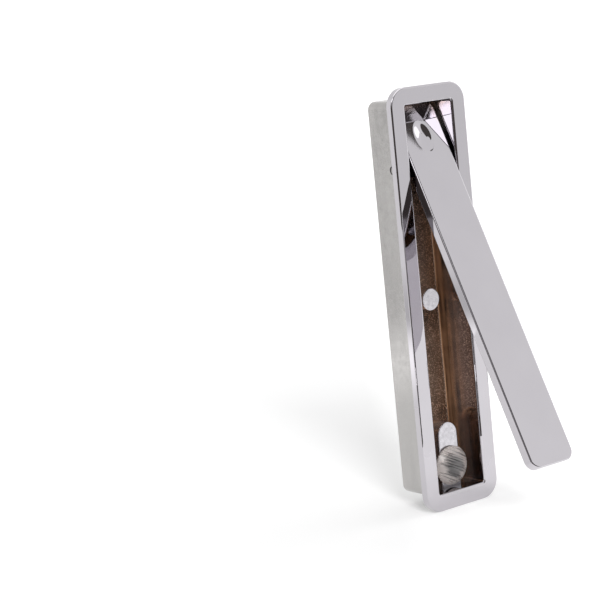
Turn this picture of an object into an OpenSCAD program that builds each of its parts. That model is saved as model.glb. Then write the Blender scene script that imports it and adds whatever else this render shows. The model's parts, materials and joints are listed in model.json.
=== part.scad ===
// Recessed push button handle for a furniture door.
// The flange's rear face lies on the plane y = 0. The front looks along -Y, the push end is at +Z.

/* [Flange] */
// Width of the flange
flange_w = 26; // [22:0.5:36]
// Length of the flange
flange_l = 117; // [104:0.5:160]
// Thickness of the flange
flange_t = 2.2; // [1.5:0.1:3]
// Corner radius of the flange
flange_r = 5.2; // [3:0.1:8]
// Radius of the flange's front edge
flange_edge_r = 0.35; // [0.2:0.05:1]
// Width of the rim around the opening
rim = 4.75; // [4:0.05:6]

/* [Tray] */
// Depth of the tray from the front of the flange to its back
tray_depth = 14.8; // [13.5:0.1:20]
// Thickness of the side and end walls
wall = 1.2; // [0.9:0.1:2]
// Thickness of the floor
floor_t = 1.5; // [1:0.1:2]
// Corner radius of the opening
opening_r = 0.6; // [0.3:0.1:1.5]
// Radius of the opening's front edge
lip_r = 0.6; // [0.2:0.05:1]
// Radius of the upright outer corners of the box
body_r = 2.4; // [1:0.1:4]
// Radius of the outer edges of the back
back_r = 0.5; // [0.3:0.1:3]
// Radius of the fillet between floor and walls
floor_r = 0.6; // [0.3:0.1:3]

/* [Screw posts] */
// Diameter of the round post
post_d = 6.2; // [5.6:0.1:8]
// Depth of the round post's top below the front
post_depth = 6.3; // [5.5:0.1:8]
// Height of the round post above the middle of the flange
post_z = -0.75; // [-3:0.05:2]
// Width of the oblong post
ledge_w = 6.8; // [5.6:0.1:9]
// Depth of the oblong post's top below the front
ledge_depth = 4.4; // [4:0.1:5]
// Distance between the two screw holes
screw_spacing = 38; // [32:0.5:42]
// Diameter of the tapping holes
tap_d = 3.3; // [2.5:0.1:4.2]
// Depth of the tapping holes from the back
tap_len = 7; // [5:0.1:7.2]

/* [Bumper] */
// Diameter of the bumper
bumper_d = 11; // [8:0.1:12]
// Height of the bumper
bumper_h = 3; // [2:0.1:3.4]
// Height of the straight foot of the bumper
bumper_foot = 0.7; // [0.4:0.1:1.2]
// Gap between the bumper and the end wall
bumper_gap = 0.6; // [0.3:0.1:4]

/* [Flap] */
// Thickness of the flap
flap_t = 2.9; // [2.4:0.1:3.2]
// Gap between the flap and each side wall
side_gap = 0.75; // [0.5:0.05:1.2]
// Gap between the free end and the end wall
free_gap = 1; // [0.6:0.05:2]
// Gap left at the end wall by the push end as it swings
swing_gap = 0.3; // [0.2:0.05:1]
// Corner radius of the free end
free_corner_r = 2.8; // [1.5:0.1:4]
// Corner radius of the push end
push_corner_r = 1.8; // [1:0.1:4]
// Edge radius along the sides
side_edge_r = 0.4; // [0.2:0.05:0.8]
// Edge radius across the free end
free_edge_r = 0.5; // [0.2:0.05:1.1]
// Edge radius across the push end
push_edge_r = 0.9; // [0.5:0.05:1.1]
// Width of the finger dish
dish_w = 6.6; // [5:0.1:10]
// Length of the finger dish
dish_l = 9; // [7:0.1:12]
// Depth of the finger dish
dish_depth = 0.5; // [0.3:0.05:0.8]
// Distance from the pivot to the middle of the dish
dish_z = 6.2; // [5:0.1:8]

/* [Hinge] */
// Distance from the end wall at the push end to the pivot
pivot_in = 17.45; // [15:0.05:22]
// Depth of the pivot below the front
pivot_depth = 6.2; // [5.9:0.1:7.5]
// Diameter of the pivot pin
pin_d = 2.4; // [2:0.1:3]
// Depth of the pin's ends below the outer walls
pin_sink = 0.15; // [0.05:0.05:0.4]
// Chamfer on the pin's ends
pin_chamfer = 0.25; // [0.1:0.05:0.5]
// Radial clearance between the pin and what turns on it
run_fit = 0.05; // [0.02:0.01:0.1]
// Thickness of each hinge lug
lug_t = 3; // [2:0.1:4.5]
// Radius of the eye of each lug
lug_r = 2.7; // [2.2:0.1:3.5]
// Length of the root of each lug under the flap
lug_root = 10; // [7:0.5:14]
// Diameter of the friction washers
washer_d = 5.2; // [4:0.1:6]
// Thickness of the friction washers
washer_t = 0.7; // [0.4:0.05:1]
// Play on each side of a washer
washer_play = 0.075; // [0.02:0.005:0.15]
// Angle at which the flap stands open
open_angle = 25.5; // [0:0.5:33]

/* [Hidden] */
$fn = 72;
// Overshoot of a cutter past the face that it cuts
cut_over = 1;

// Planes along the depth
front_y = -flange_t;
back_y = front_y + tray_depth;
floor_y = back_y - floor_t;
under_y = front_y + flap_t;
post_y = front_y + post_depth;
ledge_y = front_y + ledge_depth;
root_y = floor_y + floor_t / 2;

// Opening and box
opening_w = flange_w - 2 * rim;
opening_l = flange_l - 2 * rim;
body_w = opening_w + 2 * wall;
body_l = opening_l + 2 * wall;

// Hinge
pivot_y = front_y + pivot_depth;
pivot_z = opening_l / 2 - pivot_in;
lug_x = opening_w / 2 - washer_t - 2 * washer_play - lug_t / 2;
washer_x = opening_w / 2 - washer_play - washer_t / 2;
bore_d = pin_d + 2 * run_fit;
pin_l = body_w - 2 * pin_sink;

// The push end is as long as its round edge can be and still swing past the end wall
swing_r = pivot_in - swing_gap;
push_arm = push_edge_r + sqrt(pow(swing_r - push_edge_r, 2) - pow(pivot_depth - push_edge_r, 2));
flap_w = opening_w - 2 * side_gap;
push_z = pivot_z + push_arm;
free_z = free_gap - opening_l / 2;

// The dish is the print of a ring, rounder across than along
dish_across_r = (pow(dish_w / 2, 2) + pow(dish_depth, 2)) / (2 * dish_depth);
dish_along_r = (pow(dish_l / 2, 2) + pow(dish_depth, 2)) / (2 * dish_depth);

screw_zs = [post_z, post_z - screw_spacing];
bumper_z = bumper_gap + bumper_d / 2 - opening_l / 2;
dome_h = bumper_h - bumper_foot;
dome_r = (pow(bumper_d / 2, 2) + pow(dome_h, 2)) / (2 * dome_h);

// Flat bar of width w from v0 to v1, with its own corner radius at each end
module rounded_bar(w, v0, v1, r0, r1) {
    translate([-w / 2, v0 + r0]) square([w, v1 - v0 - r0 - r1]);
    for (corner = [[v0, r0, 1], [v1, r1, -1]]) {
        v = corner[0];
        r = corner[1];
        inward = corner[2];
        if (r > 0) {
            translate([-w / 2 + r, min(v, v + inward * r)]) square([w - 2 * r, r]);
            for (side = [-1, 1]) translate([side * (w / 2 - r), v + inward * r]) circle(r = r);
        }
    }
}

// Front outline in x and z, as thick as the range y0 to y1
module plate(y0, y1) {
    translate([0, y1, 0]) rotate([90, 0, 0]) linear_extrude(y1 - y0) children();
}

// Side outline in y and z, spread over a width w in x
module across(w) {
    rotate([90, 0, 90]) linear_extrude(w, center = true) children();
}

// Box with upright round corners and a round edge at its deep end
module tub(w, l, y0, y1, corner_r, edge_r) {
    intersection() {
        plate(y0, y1) rounded_bar(w, -l / 2, l / 2, corner_r, corner_r);
        linear_extrude(l, center = true) rounded_bar(w, y0, y1, 0, edge_r);
        across(w) mirror([1, -1, 0]) rounded_bar(l, y0, y1, 0, edge_r);
    }
}

// Plate with upright round corners and a round edge all round its front
module edged_plate(w, l, y0, y1, corner_r, edge_r) {
    linear_extrude(l - 2 * corner_r, center = true) rounded_bar(w, y0, y1, edge_r, 0);
    across(w - 2 * corner_r) mirror([1, -1, 0]) rounded_bar(l, y0, y1, edge_r, 0);
    for (x = [-1, 1], z = [-1, 1])
        translate([x * (w / 2 - corner_r), y1, z * (l / 2 - corner_r)]) rotate([90, 0, 0]) rotate_extrude()
            intersection() {
                rounded_bar(2 * corner_r, 0, y1 - y0, 0, edge_r);
                square([corner_r, y1 - y0]);
            }
}

// Flared mouth that rounds the front edge of an opening
module mouth(w, l, y0, corner_r, edge_r) {
    intersection() {
        plate(y0 - cut_over, y0 + edge_r) rounded_bar(
            w + 2 * edge_r, -l / 2 - edge_r, l / 2 + edge_r, corner_r + edge_r, corner_r + edge_r);
        linear_extrude(l + 4 * edge_r, center = true) flare(w, y0, edge_r);
        across(w + 4 * edge_r) mirror([1, -1, 0]) flare(l, y0, edge_r);
    }
}

// Outline of a mouth of width w that opens towards y0 by a quarter circle on each side
module flare(w, y0, r) {
    difference() {
        translate([-w / 2 - r, y0 - cut_over]) square([w + 2 * r, r + cut_over]);
        for (side = [-1, 1]) translate([side * (w / 2 + r), y0 + r]) circle(r = r);
    }
}

// Straight round bar along x on the pivot
module on_pivot(d, l, x = 0) {
    translate([x, pivot_y, pivot_z]) rotate([0, 90, 0]) cylinder(d = d, h = l, center = true);
}

// Posts that stand on the floor of the tray
module posts() {
    translate([0, post_y, post_z]) rotate([-90, 0, 0]) cylinder(d = post_d, h = root_y - post_y);
    plate(ledge_y, root_y) {
        translate([0, screw_zs[1]]) circle(d = ledge_w);
        translate([-ledge_w / 2, -opening_l / 2 - wall / 2])
            square([ledge_w, screw_zs[1] + opening_l / 2 + wall / 2]);
    }
}

module tray() {
    color("silver") difference() {
        union() {
            difference() {
                union() {
                    edged_plate(flange_w, flange_l, front_y, 0, flange_r, flange_edge_r);
                    tub(body_w, body_l, front_y, back_y, body_r, back_r);
                }
                tub(opening_w, opening_l, front_y - cut_over, floor_y, opening_r, floor_r);
                mouth(opening_w, opening_l, front_y, opening_r, lip_r);
            }
            posts();
        }
        for (z = screw_zs)
            translate([0, back_y + cut_over, z]) rotate([90, 0, 0]) cylinder(d = tap_d, h = tap_len + cut_over);
        on_pivot(pin_d, body_w + 2 * cut_over);
    }
}

// Lug outline in y and z: an eye on the pivot and a web up into the flap
module lug_outline() {
    web_y = under_y - flap_t / 2;
    translate([pivot_y, pivot_z]) circle(r = lug_r);
    polygon([
        [web_y, pivot_z - lug_root / 2], [pivot_y, pivot_z - lug_r],
        [pivot_y, pivot_z + lug_r], [web_y, pivot_z + lug_root / 2]
    ]);
}

// Plate with round edges all round, in the closed place
module flap_plate() {
    mid_y = (front_y + under_y) / 2;
    intersection() {
        plate(front_y, under_y) rounded_bar(flap_w, free_z, push_z, free_corner_r, push_corner_r);
        translate([0, 0, free_z - cut_over]) linear_extrude(push_z - free_z + 2 * cut_over)
            rounded_bar(flap_w, front_y, under_y, side_edge_r, side_edge_r);
        across(flap_w + 2 * cut_over) translate([mid_y, 0])
            rounded_bar(flap_t, free_z, push_z, free_edge_r, push_edge_r);
    }
}

// Lens shaped ring that prints the finger dish
module dish_ring() {
    ring_t = dish_depth + cut_over;
    translate([0, front_y + dish_depth - dish_along_r, pivot_z + dish_z]) rotate([0, 90, 0]) rotate_extrude()
        intersection() {
            translate([dish_along_r - dish_across_r, 0]) circle(r = dish_across_r);
            translate([dish_along_r - ring_t, -dish_across_r]) square([ring_t, 2 * dish_across_r]);
        }
}

module flap() {
    color("gainsboro") translate([0, pivot_y, pivot_z]) rotate([-open_angle, 0, 0])
        translate([0, -pivot_y, -pivot_z]) difference() {
            union() {
                flap_plate();
                for (side = [-1, 1]) translate([side * lug_x, 0, 0]) across(lug_t) lug_outline();
            }
            dish_ring();
            on_pivot(bore_d, flap_w);
        }
}

module pivot_pin() {
    r = pin_d / 2;
    h = pin_l / 2;
    color("slategray") translate([0, pivot_y, pivot_z]) rotate([0, 90, 0]) rotate_extrude()
        polygon([
            [0, -h], [r - pin_chamfer, -h], [r, -h + pin_chamfer],
            [r, h - pin_chamfer], [r - pin_chamfer, h], [0, h]
        ]);
}

module washer(side) {
    color("dimgray") difference() {
        on_pivot(washer_d, washer_t, side * washer_x);
        on_pivot(bore_d, washer_t + cut_over, side * washer_x);
    }
}

module left_washer() {
    washer(-1);
}

module right_washer() {
    washer(1);
}

module bumper() {
    color("lightgray", 0.6) translate([0, ledge_y, bumper_z]) rotate([90, 0, 0]) intersection() {
        cylinder(d = bumper_d, h = bumper_h);
        translate([0, 0, bumper_h - dome_r]) sphere(r = dome_r);
    }
}

tray();
flap();
pivot_pin();
left_washer();
right_washer();
bumper();
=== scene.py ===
import json
import math

import bmesh
import bpy
from bpy.props import FloatProperty, FloatVectorProperty, PointerProperty
from mathutils import Matrix, Vector


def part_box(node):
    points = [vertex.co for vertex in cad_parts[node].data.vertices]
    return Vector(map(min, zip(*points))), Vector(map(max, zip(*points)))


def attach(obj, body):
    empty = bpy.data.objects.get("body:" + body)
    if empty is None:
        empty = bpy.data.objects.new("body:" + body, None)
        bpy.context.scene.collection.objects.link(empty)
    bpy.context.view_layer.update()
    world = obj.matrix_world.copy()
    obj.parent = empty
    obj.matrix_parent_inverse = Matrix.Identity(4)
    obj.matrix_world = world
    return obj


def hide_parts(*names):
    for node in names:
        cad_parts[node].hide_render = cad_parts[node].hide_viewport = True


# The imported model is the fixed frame: x to the right, y into the door, z up, in metres.
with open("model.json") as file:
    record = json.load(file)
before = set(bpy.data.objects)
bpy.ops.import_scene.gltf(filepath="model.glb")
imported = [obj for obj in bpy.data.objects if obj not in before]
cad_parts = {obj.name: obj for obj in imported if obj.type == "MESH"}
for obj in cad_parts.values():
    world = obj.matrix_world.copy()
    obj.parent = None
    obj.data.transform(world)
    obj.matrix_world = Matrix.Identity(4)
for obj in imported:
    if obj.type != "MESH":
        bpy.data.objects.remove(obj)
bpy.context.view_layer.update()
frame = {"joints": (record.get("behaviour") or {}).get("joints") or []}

bl_info = {
    "name": "Recessed push button handle",
    "version": (1, 0, 0),
    "blender": (4, 5, 0),
    "location": "View3D > Sidebar > Handle",
    "description": "Builds a chrome recessed handle with a push flap on its packed frame",
    "category": "Object",
}

# Corners of the solids that the pieces stand for
tray_low, tray_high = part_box("tray")
pin_low, pin_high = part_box("pivot_pin")
washer_low, washer_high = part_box("right_washer")
bumper_low, bumper_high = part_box("bumper")
pivot = Vector(frame["joints"][0]["pos_m"])

# Facets round a small edge, round an upright corner and round a turned piece
EDGE_STEPS = 8
CORNER_STEPS = 12
TURN_STEPS = 64
# Points in one turn of a thread, and sides of its ridge
THREAD_STEPS = 32
RIDGE_SIDES = 4
# An edge that bends by more than this shows as a crease
CREASE = math.radians(14)
# Distance from a round edge to the extra loop that keeps the face beside it flat
HOLD = 0.00004
# Corner radius that stands for a sharp corner
SHARP = 0.00002
# Points closer than this are one point
MERGE = 0.0000002
# How far a cutting tool reaches past the face that it cuts
OVER = 0.001
# Step at the rim of the finger dish, too small to see, which keeps its cut clean
DISH_RIM = 0.000002
# A face in the recess is a wall if the y of its normal is above this
WALL_LEAN = -0.7

# Range in which most of a fractal noise lies
NOISE_LOW = 0.3
NOISE_HIGH = 0.7
# Numbers of the sockets that a mix node uses for colours
MIX_SHARE = 0
MIX_FIRST = 6
MIX_SECOND = 7
MIX_RESULT = 2
# Buffing waves in the bright chrome: waves per metre along each axis, and their height
FLANGE_WAVES = (130, 130, 16)
FLANGE_RISE = 0.0002
FLAP_WAVES = (45, 45, 45)
FLAP_RISE = 0.00004
# Share of bare metal shine in the thin plating of the recess, the rest of which is a dull film
WALL_METAL = 0.7
FLOOR_METAL = 0.75
# Shares of the recess's depth between which the chrome on its walls thins out and turns dark and warm, partly
# thin plating and partly painted shade of the recess
THIN_AND_SHADE_START = 0.25
THIN_AND_SHADE_END = 0.8
# Shares of the recess's depth between which a painted highlight line sets in along the walls above the floor
HIGHLIGHT_START = 0.955
HIGHLIGHT_END = 0.975
# How far the painted shade reaches from the end wall over the oblong post
CORNER_SHADE = 0.0032
# Slant of the scuffs on the bumper
SCUFF_SLANT = math.radians(-27)
# Shares of the bumper's radius: how far scuffs fray the rubbed spot, and between which it runs out
SPOT_FRAY = 0.3
SPOT_START = 0.45
SPOT_END = 0.8

# Where the camera looks, and where it stands seen from there, in metres and degrees
CAMERA_AIM = Vector((-0.04911, -0.0022, 0.00791))
CAMERA_DISTANCE = 0.4804
CAMERA_AZIMUTH = -35.893
CAMERA_ELEVATION = 8.783
# Roll of the camera, and its lens and sensor in millimetres
CAMERA_ROLL = math.radians(-5.79)
CAMERA_LENS = 111.8
SENSOR_WIDTH = 36
# Radius of the studio's round wall, and the elevation in degrees at which it meets the floor
CARD_DISTANCE = 0.8
FLOOR_EDGE = math.degrees(math.atan2(tray_low.z, CARD_DISTANCE))
# The softbox stands nearer than the wall
SOFTBOX_DISTANCE = 0.42
# Steps along and up a card, and the height of a card that lies on the floor
CARD_COLUMNS = 24
CARD_ROWS = 12
CARD_RISE = 0.0004
# Distance from the middle of the floor to its sides
FLOOR_HALF = 6.0
# Tint of the studio and its bright cards
WHITE = (1.0, 1.0, 1.0)
# Strength of the graded cards, of which the colours of their stops are shares
BRIGHTEST = 2.0
# Heights between which the dark cards on the wall turn pale
DARK_HEIGHT = 0.05
PALE_HEIGHT = 0.36
# Distances at which the dark card on the floor starts and turns pale
FLOOR_CARD_START = 0.08
FLOOR_CARD_FADE = 0.30
# Distances at which the floor's sheen starts, fades and ends
SHEEN_START = 0.03
SHEEN_NEAR = 0.28
SHEEN_FAR = 0.42
SHEEN_END = 3.0
# Distances at which the glow on the floor that the box shows starts, peaks, dips and ends
GLOW_START = 0.13
GLOW_PEAK = 0.23
GLOW_DIP = 0.34
GLOW_END = 0.52
# Distances to the right of the handle's middle, as the camera sees it, between which the floor's lift grows
LIFT_START = -0.018
LIFT_END = 0.012
# Sines of the elevations between which the studio wall darkens
SKY_LOW = 0.36
SKY_HIGH = 0.56
# Places in x and z on the closed flap's face, row by row, where a dark card shows beside the finger dish
DISH_CARD_PLACES = (
    ((-0.0049, 0.0488), (0.0015, 0.0480)),
    ((-0.0064, 0.0460), (-0.0004, 0.0443)),
    ((-0.0030, 0.0390), (-0.0018, 0.0390)),
)


def place(name, description, default, **limits):
    """A place along one axis in metres that shows in the panel."""
    return FloatProperty(
        name=name,
        description=description,
        default=default,
        precision=4,
        subtype="DISTANCE",
        unit="LENGTH",
        **limits,
    )


def length(name, description, default):
    """A size in metres that shows in the panel."""
    return place(name, description, default, min=0.0)


def colour(name, description, default):
    """A linear colour that shows in the panel."""
    return FloatVectorProperty(
        name=name,
        description=description,
        default=default,
        size=3,
        min=0.0,
        max=1.0,
        subtype="COLOR",
    )


def level(name, description, default):
    """A strength of light that shows in the panel."""
    return FloatProperty(name=name, description=description, default=default, min=0.0, subtype="FACTOR")


class HandleTraySizes(bpy.types.PropertyGroup):
    """Sizes of the die cast tray."""

    flange_width: length("Flange width", "Width of the flange", tray_high.x - tray_low.x)
    flange_height: length("Flange height", "Length of the flange", tray_high.z - tray_low.z)
    flange_corner: length("Flange corner", "Corner radius of the flange", 0.0052)
    front_y: place("Front plane", "Place of the flange's front face", tray_low.y)
    back_y: place("Back plane", "Place of the tray's back", tray_high.y)
    floor_thickness: length("Floor", "Thickness of the tray's floor", 0.0015)
    opening_width: length("Opening width", "Width of the opening", 0.0165)
    opening_height: length("Opening height", "Length of the opening", 0.1075)
    opening_corner: length("Opening corner", "Corner radius of the opening", 0.0006)
    wall: length("Wall", "Thickness of the side and end walls", 0.0012)
    body_corner: length("Box corner", "Radius of the box's upright corners", 0.0024)
    back_edge: length("Back edge", "Radius of the box's back edges", 0.0005)
    floor_fillet: length("Floor fillet", "Radius between the floor and the walls", 0.0006)
    front_edge: length("Front edge", "Radius of the flange's front edge", 0.00035)
    rear_edge: length("Rear edge", "Radius of the flange's rear edge", 0.0002)
    lip_edge: length("Lip", "Radius of the opening's front edge", 0.0006)
    root_fillet: length("Root fillet", "Radius between the flange and the box", 0.0004)
    post_diameter: length("Post diameter", "Diameter of the round post", 0.0062)
    post_top: place("Post top", "Place of the round post's top face", 0.0041)
    post_z: place("Post height", "Height of the round post", -0.00075)
    ledge_width: length("Ledge width", "Width of the oblong post", 0.0068)
    ledge_top: place("Ledge top", "Place of the oblong post's top face", 0.0022)
    screw_spacing: length("Screw spacing", "Distance between the screw holes", 0.038)
    post_edge: length("Post edge", "Radius of the posts' top edges", 0.00025)
    post_root: length("Post root", "Radius between the posts and the floor", 0.0006)
    thread_diameter: length("Thread", "Outer diameter of the tapped thread", 0.004)
    thread_core: length("Thread core", "Inner diameter of the tapped thread", 0.0033)
    thread_pitch: length("Pitch", "Rise of the thread in one turn", 0.0007)
    tap_depth: length("Tap depth", "Depth of the screw holes from the back", 0.007)


class HandleFlapSizes(bpy.types.PropertyGroup):
    """Sizes of the push flap, in its closed place."""

    width: length("Width", "Width of the flap", 0.015)
    thickness: length("Thickness", "Thickness of the flap", 0.0029)
    free_z: place("Free end", "Height of the free end", -0.05275)
    push_z: place("Push end", "Height of the push end", 0.05256)
    free_corner: length("Free corner", "Corner radius of the free end", 0.0028)
    push_corner: length("Push corner", "Corner radius of the push end", 0.0024)
    side_edge: length("Side edge", "Edge radius along the sides", 0.0004)
    free_edge: length("Free edge", "Edge radius across the free end", 0.0005)
    push_edge: length("Push edge", "Edge radius across the push end", 0.0009)
    dish_width: length("Dish width", "Width of the finger dish", 0.0062)
    dish_length: length("Dish length", "Length of the finger dish", 0.0095)
    dish_depth: length("Dish depth", "Depth of the finger dish", 0.00034)
    dish_z: place("Dish height", "Height of the middle of the finger dish", 0.0425)
    dish_shift: length("Dish shift", "Distance of the deepest point above the middle", 0.0011)
    lug_x: place("Lug place", "Distance of each lug from the middle", 0.0059)
    lug_thickness: length("Lug thickness", "Thickness of each lug", 0.003)
    lug_eye: length("Lug eye", "Radius of the eye of each lug", 0.0027)
    lug_root: length("Lug root", "Length of the root of each lug", 0.01)
    lug_edge: length("Lug edge", "Edge radius of the lugs", 0.0003)
    bore: length("Bore", "Diameter of the hole for the pin", 0.0025)
    open_angle: FloatProperty(
        name="Open angle",
        description="Angle at which the flap stands open",
        default=math.radians(25.5),
        subtype="ANGLE",
        unit="ROTATION",
    )


class HandleSmallSizes(bpy.types.PropertyGroup):
    """Sizes of the pin, the washers and the bumper."""

    pin_diameter: length("Pin diameter", "Diameter of the pivot pin", pin_high.y - pin_low.y)
    pin_length: length("Pin length", "Length of the pivot pin", pin_high.x - pin_low.x)
    pin_chamfer: length("Pin chamfer", "Chamfer at the ends of the pin", 0.00025)
    washer_diameter: length("Washer diameter", "Diameter of the washers", washer_high.y - washer_low.y)
    washer_thickness: length("Washer thickness", "Thickness of the washers", washer_high.x - washer_low.x)
    washer_x: place(
        "Washer place", "Distance of each washer from the middle", (washer_low.x + washer_high.x) / 2
    )
    washer_edge: length("Washer edge", "Edge radius of the washers", 0.00012)
    bumper_diameter: length("Bumper diameter", "Diameter of the bumper", bumper_high.x - bumper_low.x)
    bumper_height: length("Bumper height", "Height of the bumper", bumper_high.y - bumper_low.y)
    bumper_foot: length("Bumper foot", "Height of the bumper's straight foot", 0.0007)
    bumper_edge: length("Bumper edge", "Edge radius of the bumper's foot", 0.0003)
    bumper_z: place("Bumper place", "Height of the bumper's middle", (bumper_low.z + bumper_high.z) / 2)
    bumper_seat: place("Bumper seat", "Place of the bumper's flat side", bumper_high.y)
    glue: length("Glue", "Thickness of the glue under the bumper", 0.00003)


class HandleColours(bpy.types.PropertyGroup):
    """Colours of the finishes."""

    chrome: colour("Chrome", "Bright chrome of the flange and the flap", (0.55, 0.53, 0.56))
    cast_chrome: colour("Cast chrome", "Duller chrome on the box", (0.452, 0.440, 0.432))
    post_chrome: colour("Post chrome", "Chrome on the cut tops of the posts", (0.57, 0.555, 0.585))
    # The dark warm nickel tones of the recess are partly plating and partly painted shade of the recess
    nickel: colour("Nickel", "Warm thin plating on the recess walls", (0.47, 0.295, 0.18))
    dark_nickel: colour("Dark nickel", "Warm thin plating on the recess floor", (0.33, 0.235, 0.18))
    zinc: colour("Zinc", "Bare cut metal in the screw holes", (0.42, 0.42, 0.43))
    steel: colour("Steel", "Ground steel of the pin", (0.40, 0.39, 0.38))
    nylon: colour("Nylon", "Black plastic of the washers", (0.03, 0.03, 0.032))
    clear: colour("Clear plastic", "Tint of the bumper", (0.88, 0.81, 0.78))
    wear_and_highlight: colour("Rubbed plastic", "Tint of the bumper where the flap lands", (0.11, 0.108, 0.11))


class HandleStageSettings(bpy.types.PropertyGroup):
    """Colours and levels of the studio."""

    floor: colour("Floor", "Pale floor under the handle", (0.80, 0.80, 0.80))
    dark_card: colour("Dark cards", "Cards on the camera's side that the chrome shows", (0.085, 0.075, 0.07))
    pale_card: colour("Pale cards", "Far and high parts of the dark cards", (0.48, 0.47, 0.48))
    grey_card: colour("Grey card", "Card in front that the chrome shows", (0.20, 0.20, 0.21))
    floor_lift: level("Floor lift", "Glow that brings the seen floor up to white", 0.15)
    clear_lift: level("Clear floor lift", "The same glow on the clear side at the right", 0.36)
    ambient: level("Ambient", "Strength of the studio as a light", 0.80)
    key: level("Key", "Strength of the soft lamp near the camera", 1.75)
    fill: level("Fill", "Strength of the soft lamp on the right", 0.2)
    softbox: level("Softbox", "Brightness of the softbox as the chrome shows it", 3.2)
    ceiling: level("Ceiling", "Brightness of the ceiling panel as the chrome shows it", 1.9)
    reflector: level("Reflector", "Brightness of the small reflector on the floor", 6.0)
    near_sheen: level("Near sheen", "Brightness of the floor beside the handle as the chrome shows it", 1.2)
    far_sheen: level("Far sheen", "Brightness of the floor further off as the chrome shows it", 0.91)
    wall_glow: level("Wall glow", "Brightness of the floor at the left rear as the box shows it", 1.65)
    wall_shade: level("Wall shade", "Brightness of the shaded floor behind it as the box shows it", 0.72)
    low_sky: level("Low wall", "Brightness of the lower studio wall as the chrome shows it", 1.07)
    high_sky: level("High wall", "Brightness of the upper studio wall as the chrome shows it", 0.94)


# Meshes


def round_edge(radius):
    """Points round an edge, as distances from the side and from the end face, held at both ends."""
    points = [(radius + HOLD, 0.0)]
    for step in range(EDGE_STEPS + 1):
        angle = math.pi / 2 * step / EDGE_STEPS
        points.append((radius * (1 - math.sin(angle)), radius * (1 - math.cos(angle))))
    points.append((0.0, radius + HOLD))
    return points


def rounded_outline(half_width, low, high, low_radius, high_radius):
    """Points of a rounded bar in x and z with the outward direction at each, from the lower right."""
    corners = (
        (half_width - low_radius, low + low_radius, low_radius, -90),
        (half_width - high_radius, high - high_radius, high_radius, 0),
        (high_radius - half_width, high - high_radius, high_radius, 90),
        (low_radius - half_width, low + low_radius, low_radius, 180),
    )
    points = []
    for centre_x, centre_z, radius, start in corners:
        for step in range(CORNER_STEPS + 1):
            angle = math.radians(start + 90 * step / CORNER_STEPS)
            out = Vector((math.cos(angle), 0, math.sin(angle)))
            points.append((Vector((centre_x, 0, centre_z)) + radius * out, out))
    return points


def rounded_loop(half_width, half_height, radius, y):
    """One loop of a rounded rectangle at the depth y."""
    radius = max(radius, SHARP)
    outline = rounded_outline(half_width, -half_height, half_height, radius, radius)
    return [point + Vector((0, y, 0)) for point, out in outline]


def tidy(mesh):
    """Merges doubled points and turns every face outwards."""
    work = bmesh.new()
    work.from_mesh(mesh)
    bmesh.ops.remove_doubles(work, verts=work.verts, dist=MERGE)
    bmesh.ops.dissolve_degenerate(work, edges=work.edges, dist=MERGE)
    bmesh.ops.recalc_face_normals(work, faces=work.faces)
    work.to_mesh(mesh)
    work.free()


def skin(name, loops):
    """A closed mesh over loops of equally many points, with a face over the first and the last loop."""
    count = len(loops[0])
    points = [point for loop in loops for point in loop]
    faces = [list(range(count)), list(range(len(points) - count, len(points)))]
    for start in range(0, len(points) - count, count):
        for here in range(count):
            after = (here + 1) % count
            faces.append((start + here, start + after, start + count + after, start + count + here))
    mesh = bpy.data.meshes.new(name)
    mesh.from_pydata(points, [], faces)
    tidy(mesh)
    return mesh


def turned(name, profile, centre, axis):
    """A closed mesh turned round an axis through the centre, from radii and distances along the axis."""
    along = Vector(axis)
    across = along.orthogonal().normalized()
    beside = along.cross(across)
    loops = []
    for radius, distance in profile:
        loop = []
        for step in range(TURN_STEPS):
            angle = 2 * math.pi * step / TURN_STEPS
            out = math.cos(angle) * across + math.sin(angle) * beside
            loop.append(Vector(centre) + distance * along + max(radius, SHARP) * out)
        loops.append(loop)
    return skin(name, loops)


def new_object(name, mesh):
    """An object at the origin that shows the mesh."""
    made = bpy.data.objects.new(name, mesh)
    bpy.context.scene.collection.objects.link(made)
    return made


def work_in(made):
    """Works an object's modifiers into its mesh, after which they go."""
    depsgraph = bpy.context.evaluated_depsgraph_get()
    worked = bpy.data.meshes.new_from_object(made.evaluated_get(depsgraph))
    if not worked.polygons:
        raise RuntimeError(f"{made.name} came out with no faces")
    made.modifiers.clear()
    bare = made.data
    made.data = worked
    bpy.data.meshes.remove(bare)
    tidy(worked)


def carve(target, tool_mesh, operation):
    """Adds the tool to the target with UNION, or cuts it out with DIFFERENCE."""
    tool = new_object("tool", tool_mesh)
    step = target.modifiers.new("carve", "BOOLEAN")
    step.object = tool
    step.operation = operation
    step.solver = "EXACT"
    work_in(target)
    bpy.data.objects.remove(tool)
    bpy.data.meshes.remove(tool_mesh)


def shade(mesh):
    """Smooth faces with creases where the surface bends sharply."""
    mesh.polygons.foreach_set("use_smooth", [True] * len(mesh.polygons))
    mesh.set_sharp_from_angle(angle=CREASE)


def dress(piece, *finishes):
    """Shades a piece and gives it its finishes."""
    shade(piece.data)
    for finish in finishes:
        piece.data.materials.append(finish)


def seat(piece, body, nodes):
    """Puts a finished piece on its body, in place of the solids that it stands for."""
    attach(piece, body)
    if nodes:
        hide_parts(*nodes)


# Node trees


def add_node(tree, kind, inputs=None, **settings):
    """A node with its settings, and with each input set to a value or joined to another node's output."""
    made = tree.nodes.new(kind)
    for name, value in settings.items():
        setattr(made, name, value)
    for name, value in (inputs or {}).items():
        if isinstance(value, bpy.types.NodeSocket):
            tree.links.new(value, made.inputs[name])
        else:
            made.inputs[name].default_value = value
    return made


def maths(tree, operation, first, second):
    """What an operation makes of two numbers, given as values or as outputs."""
    return add_node(tree, "ShaderNodeMath", {0: first, 1: second}, operation=operation).outputs["Value"]


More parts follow.
